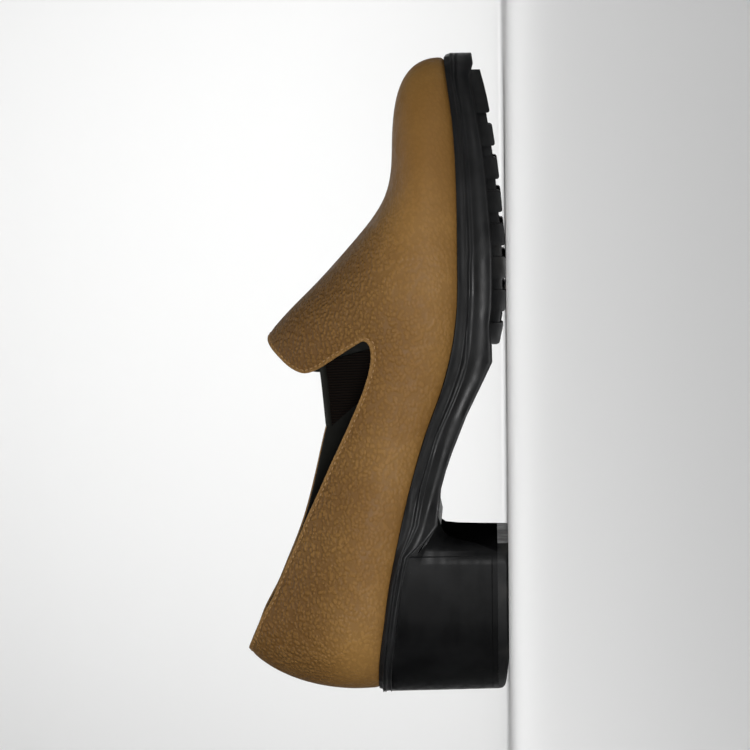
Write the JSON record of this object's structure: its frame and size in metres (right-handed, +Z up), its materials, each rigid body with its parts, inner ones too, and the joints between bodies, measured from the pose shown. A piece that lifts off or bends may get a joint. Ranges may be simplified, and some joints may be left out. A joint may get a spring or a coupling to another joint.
{
  "type": "block-heel slip-on shoe",
  "caption": "Right slip-on shoe with a high tab, an elastic gusset on the inner side, a ribbed lugged sole and a block heel, standing empty on its sole.",
  "frame": {"origin": "centre of the heel's tread, on the floor", "axes": "+X to the toe, +Y to the inner (medial) side of the foot, +Z up"},
  "size_m": [0.249, 0.0838, 0.1022],
  "materials": {
    "tan_leather": "pebbled, satin",
    "brown_elastic": "ribbed, matt",
    "sock_leather": "smooth, matt",
    "black_rubber": "moulded, satin",
    "heel_plastic": "satin"
  },
  "bodies": {
    "root": {"upper": "tan_leather", "elastic_gore": "brown_elastic", "gore_binding": "tan_leather", "insole": "sock_leather", "heel_pad": "sock_leather", "arch_pad": "sock_leather", "outsole": "black_rubber", "heel_block": "heel_plastic", "top_lift": "black_rubber"}
  },
  "joints": []
}
